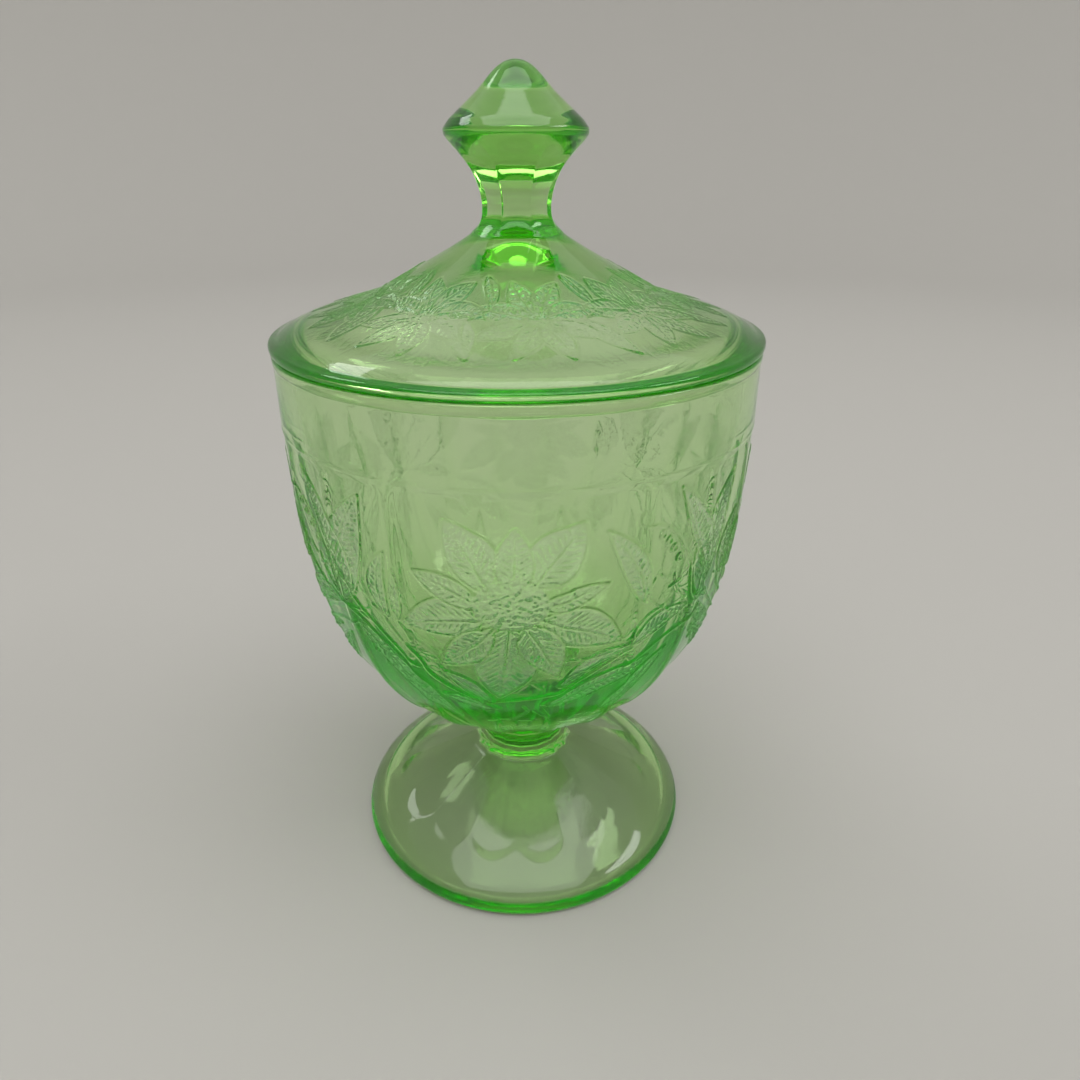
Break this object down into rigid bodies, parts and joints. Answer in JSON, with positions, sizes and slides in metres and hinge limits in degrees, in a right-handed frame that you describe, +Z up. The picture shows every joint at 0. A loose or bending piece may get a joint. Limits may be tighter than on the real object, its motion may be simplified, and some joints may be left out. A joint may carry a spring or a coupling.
{
  "type": "covered candy dish",
  "caption": "Footed, panelled candy dish in translucent green pressed glass with embossed flowers and leaves, and a domed lift-off lid with a pointed knob.",
  "frame": {"origin": "centre of the flat ring that the foot rests on, at table height", "axes": "+Z up along the dish's axis to the tip of the knob; -Y faces the front flower, +X is to its right"},
  "size_m": [0.103, 0.103, 0.18],
  "materials": {
    "green_glass": "fire-polished translucent yellow-green pressed glass with a moulded pattern on its outside"
  },
  "bodies": {
    "bowl_body": {"footed_bowl": "green_glass"},
    "lid_body": {"lid": "green_glass"}
  },
  "joints": [
    {"name": "lid_lift", "type": "slide", "parent": "bowl_body", "child": "lid_body", "axis": [0, 0, 1], "range_m": [0, 0.06]}
  ]
}
